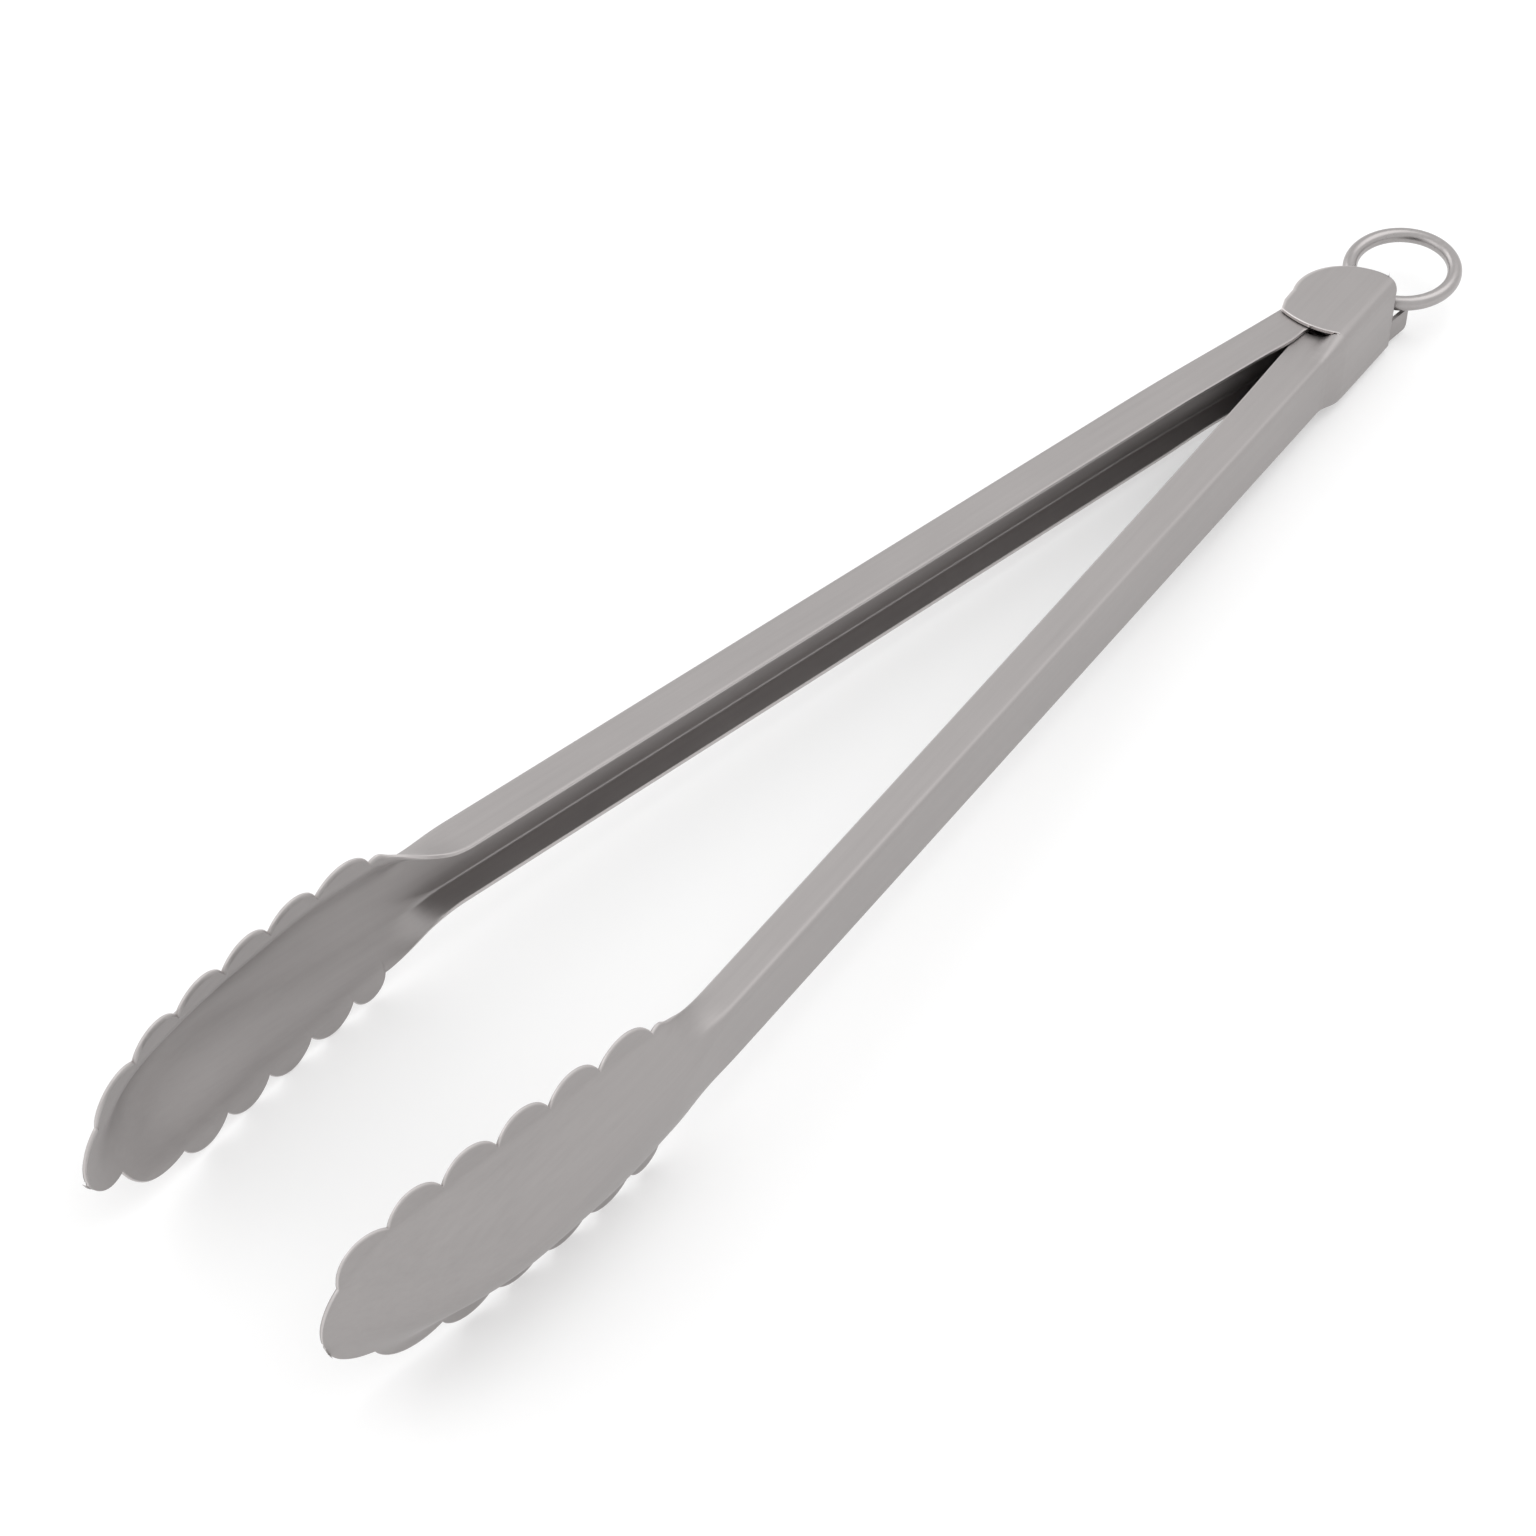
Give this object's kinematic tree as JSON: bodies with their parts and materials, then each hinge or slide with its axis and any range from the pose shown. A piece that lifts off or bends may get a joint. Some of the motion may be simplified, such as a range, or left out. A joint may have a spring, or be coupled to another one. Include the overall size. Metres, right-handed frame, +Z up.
{
  "type": "kitchen tongs",
  "caption": "Spring-loaded steel kitchen tongs: two channel arms hinged at one end, scalloped bowl heads, a torsion spring, and a sliding catch with a pull ring.",
  "frame": {"origin": "centre of the bounding box's base, on the surface the tongs lie on", "axes": "+X from the pull ring towards the heads, +Z up through the hinge pin, +Y towards the outer arm"},
  "size_m": [0.4306, 0.0928, 0.045],
  "materials": {
    "arm_steel": "satin, grained along the arms",
    "pin_steel": "turned",
    "spring_steel": "drawn wire",
    "slide_steel": "satin",
    "ring_steel": "fine satin"
  },
  "bodies": {
    "outer": {"outer_arm": "arm_steel", "hinge_pin": "pin_steel", "pivot_sleeve": "pin_steel", "spring_washer": "pin_steel", "torsion_spring": "spring_steel"},
    "inner": {"inner_arm": "arm_steel"},
    "slide": {"lock_slide": "slide_steel"},
    "ring": {"pull_ring": "ring_steel"}
  },
  "joints": [
    {"name": "arm_hinge", "type": "hinge", "parent": "outer", "child": "inner", "pos_m": [-0.16845, 0, 0.02194], "axis": [0, 0, 1], "range_deg": [0, 8.4], "stiffness_Nm_per_rad": 1.5, "springref_deg": -6.88, "deforming": ["torsion_spring"]},
    {"name": "lock_slide_travel", "type": "slide", "parent": "outer", "child": "slide", "axis": [-1, 0, 0], "range_m": [0, 0.008]},
    {"name": "ring_hinge", "type": "hinge", "parent": "slide", "child": "ring", "pos_m": [-0.1884, -0.001, 0.02059], "axis": [0, 1, 0], "range_deg": [0, 80]}
  ]
}
